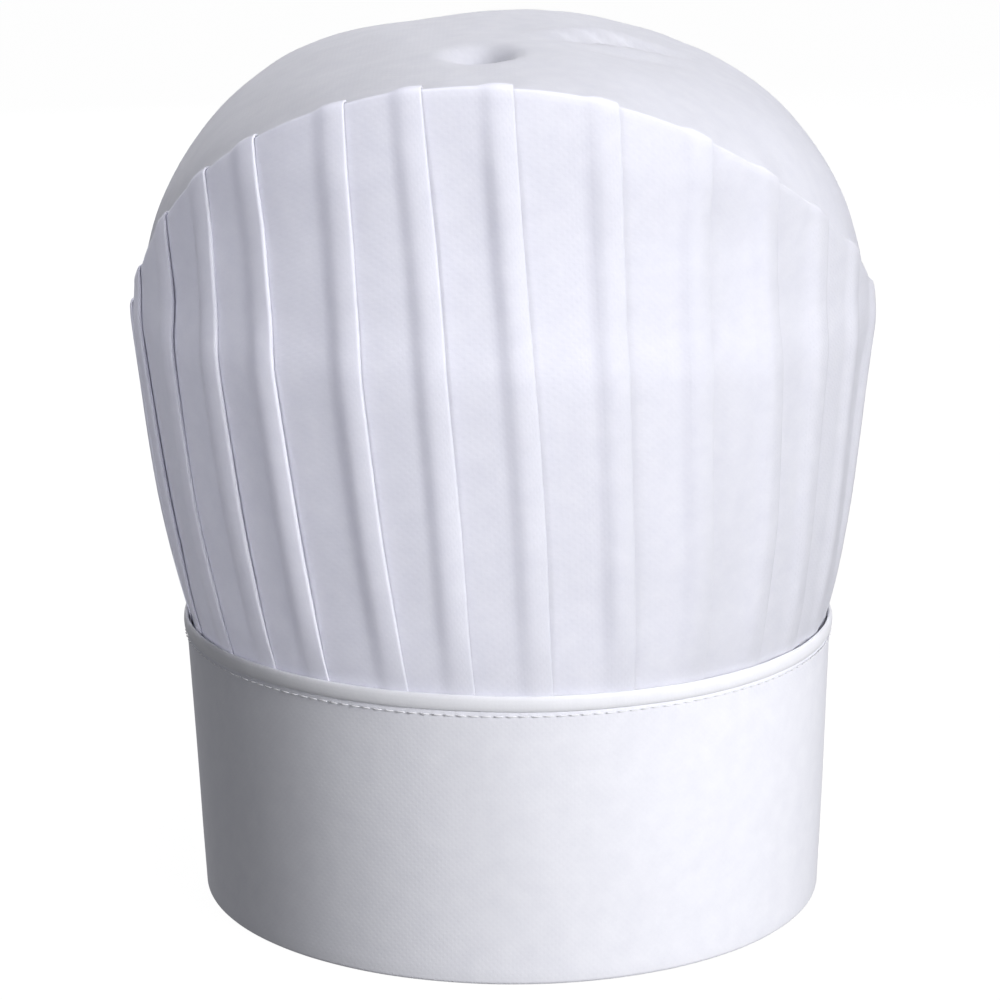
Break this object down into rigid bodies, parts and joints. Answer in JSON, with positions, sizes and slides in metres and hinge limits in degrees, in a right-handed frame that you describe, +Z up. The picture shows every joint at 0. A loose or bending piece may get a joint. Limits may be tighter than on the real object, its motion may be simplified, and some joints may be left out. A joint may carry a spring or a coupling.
{
  "type": "chef toque",
  "caption": "Tall white chef's toque: smooth upright headband, knife-pleated flared crown, plain arched top panel, and a hook-and-loop size strap at the back.",
  "frame": {"origin": "centre of the headband's bottom rim, on the surface that the hat stands on", "axes": "+Z up along the hat's axis, -Y towards the wearer's front, +Y towards the size strap at the back"},
  "size_m": [0.2178, 0.2178, 0.25],
  "materials": {
    "nonwoven_white": "white stiff non-woven cloth, matt, finely mottled by its fibres",
    "binding_white": "white bias binding, slightly brighter than the cloth",
    "sweat_fleece": "soft absorbent white fleece",
    "card_grey": "thin uncoated grey-white card",
    "thread_white": "white spun polyester thread",
    "hook_nylon": "white moulded nylon hooks on a woven tape",
    "loop_nylon": "white brushed nylon loop pile"
  },
  "bodies": {
    "hat": {"headband": "nonwoven_white", "band_stiffener": "card_grey", "sweatband": "sweat_fleece", "sweatband_thread": "thread_white", "crown_wall": "nonwoven_white", "crown_top": "nonwoven_white", "rim_seam_thread": "thread_white", "back_seam_thread": "thread_white", "seam_binding": "binding_white", "binding_thread": "thread_white", "band_end_thread": "thread_white", "tab_anchor": "nonwoven_white", "anchor_thread": "thread_white", "loop_patch": "loop_nylon", "loop_thread": "thread_white"},
    "tab": {"closure_tab": "nonwoven_white", "hook_patch": "hook_nylon", "hook_thread": "thread_white"}
  },
  "joints": [
    {"name": "tab_peel", "type": "hinge", "parent": "hat", "child": "tab", "pos_m": [-0.00758, 0.09744, 0.04], "axis": [0, 0, 1], "range_deg": [0, 110]}
  ]
}
